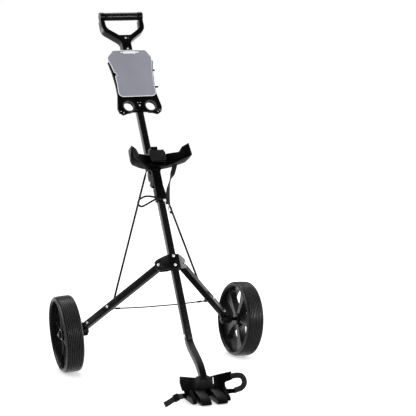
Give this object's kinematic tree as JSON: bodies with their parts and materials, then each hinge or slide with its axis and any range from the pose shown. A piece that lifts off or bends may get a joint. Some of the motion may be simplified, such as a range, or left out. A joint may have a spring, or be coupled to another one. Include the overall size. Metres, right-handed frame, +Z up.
{
  "type": "golf push cart",
  "caption": "Folding golf push cart with a D handle, scorecard console, upper and lower bag cradles, splayed folding legs, brace rods and ribbed wheels.",
  "frame": {"origin": "on the floor, midway between the two wheel centres", "axes": "+X to the right wheel, -Y to the bag side and the lower cradle, +Y to the grip, +Z up"},
  "size_m": [0.6898, 0.9, 1.1449],
  "materials": {
    "black_paint": "satin black powder coat",
    "black_plastic": "fine grained black moulding",
    "tyre_foam": "dull charcoal, ribbed",
    "soft_rubber": "smooth black",
    "steel": "bright zinc",
    "frosted_plate": "frosted clear plastic with polished edges",
    "white_clip": "white",
    "webbing": "woven black webbing",
    "red_badge": "red"
  },
  "bodies": {
    "frame": {"main_tube": "black_paint", "lower_stem": "black_paint", "stem_insert": "black_plastic", "stem_bolt": "steel", "hub_bracket_front": "black_paint", "hub_bracket_rear": "black_paint", "hub_rivet_upper": "steel", "hub_rivet_lower": "steel", "upper_cradle": "black_plastic", "cradle_pad": "soft_rubber", "main_tube_cap": "black_plastic", "handle_clevis": "black_paint", "handle_pivot_pin": "steel", "clevis_rivet_upper": "steel", "clevis_rivet_lower": "steel", "upper_strap": "webbing", "strap_ring": "steel", "strap_loop": "webbing", "strap_hook": "steel", "leg_pin_left": "steel", "leg_pin_right": "steel", "lower_cradle": "black_plastic", "lower_foot": "black_plastic", "lower_strap_right": "webbing", "lower_strap_left": "webbing", "strap_buckle": "black_plastic", "stem_badge": "red_badge", "stay_cable": "soft_rubber"},
    "handle": {"handle_tube": "black_paint", "handle_yoke": "black_plastic", "handle_grip": "soft_rubber", "yoke_rivet_upper": "steel", "yoke_rivet_lower": "steel", "console": "black_plastic", "console_screw": "steel", "pencil_clip": "black_plastic", "rod_pin": "steel"},
    "plate": {"scorecard_plate": "frosted_plate", "plate_clip_bar": "white_clip"},
    "leg_left": {"leg_tube_left": "black_paint", "leg_cap_left": "black_plastic", "leg_bolt_left": "steel", "leg_end_rivet_left": "steel", "axle_block_left": "black_plastic", "axle_left": "steel"},
    "leg_right": {"leg_tube_right": "black_paint", "leg_cap_right": "black_plastic", "leg_bolt_right": "steel", "leg_end_rivet_right": "steel", "axle_block_right": "black_plastic", "axle_right": "steel"},
    "rod_left": {"rod_left": "black_paint"},
    "rod_right": {"rod_right": "black_paint"},
    "wheel_left": {"tyre_left": "tyre_foam", "rim_left": "black_plastic", "hub_cap_left": "black_plastic"},
    "wheel_right": {"tyre_right": "tyre_foam", "rim_right": "black_plastic", "hub_cap_right": "black_plastic"}
  },
  "joints": [
    {"name": "handle_fold", "type": "hinge", "parent": "frame", "child": "handle", "pos_m": [0, 0.00301, 0.60419], "axis": [-1, 0, 0], "range_deg": [0, 165]},
    {"name": "plate_lift", "type": "hinge", "parent": "handle", "child": "plate", "pos_m": [0, 0.24858, 1.01488], "axis": [-1, 0, 0], "range_deg": [0, 60]},
    {"name": "leg_left_fold", "type": "hinge", "parent": "frame", "child": "leg_left", "pos_m": [-0.0336, -0.15338, 0.36021], "axis": [-0.7547, -0.5521, 0.3544], "range_deg": [0, 57], "deforming": ["stay_cable"]},
    {"name": "rod_left_swing", "type": "hinge", "parent": "handle", "child": "rod_left", "pos_m": [-0.016, 0.02992, 0.64484], "axis": [0.9931, -0.0383, -0.1111], "range_deg": [0, 147.31]},
    {"name": "wheel_left_spin", "type": "hinge", "parent": "leg_left", "child": "wheel_left", "pos_m": [-0.3045, 0, 0.12623], "axis": [-0.9962, 0.0522, -0.0698], "continuous": true},
    {"name": "leg_right_fold", "type": "hinge", "parent": "frame", "child": "leg_right", "pos_m": [0.0336, -0.15338, 0.36021], "axis": [-0.7547, 0.5521, -0.3544], "range_deg": [0, 57]},
    {"name": "rod_right_swing", "type": "hinge", "parent": "handle", "child": "rod_right", "pos_m": [0.016, 0.02992, 0.64484], "axis": [0.9931, 0.0383, 0.1111], "range_deg": [0, 147.31]},
    {"name": "wheel_right_spin", "type": "hinge", "parent": "leg_right", "child": "wheel_right", "pos_m": [0.3045, 0, 0.12623], "axis": [0.9962, 0.0522, -0.0698], "continuous": true}
  ],
  "couplings": [
    {"joint": "leg_left_fold", "follows": "handle_fold", "ratio": 0.34546},
    {"joint": "leg_right_fold", "follows": "handle_fold", "ratio": 0.34546},
    {"joint": "rod_left_swing", "follows": "handle_fold", "ratio": 0.89277},
    {"joint": "rod_right_swing", "follows": "handle_fold", "ratio": 0.89277}
  ]
}
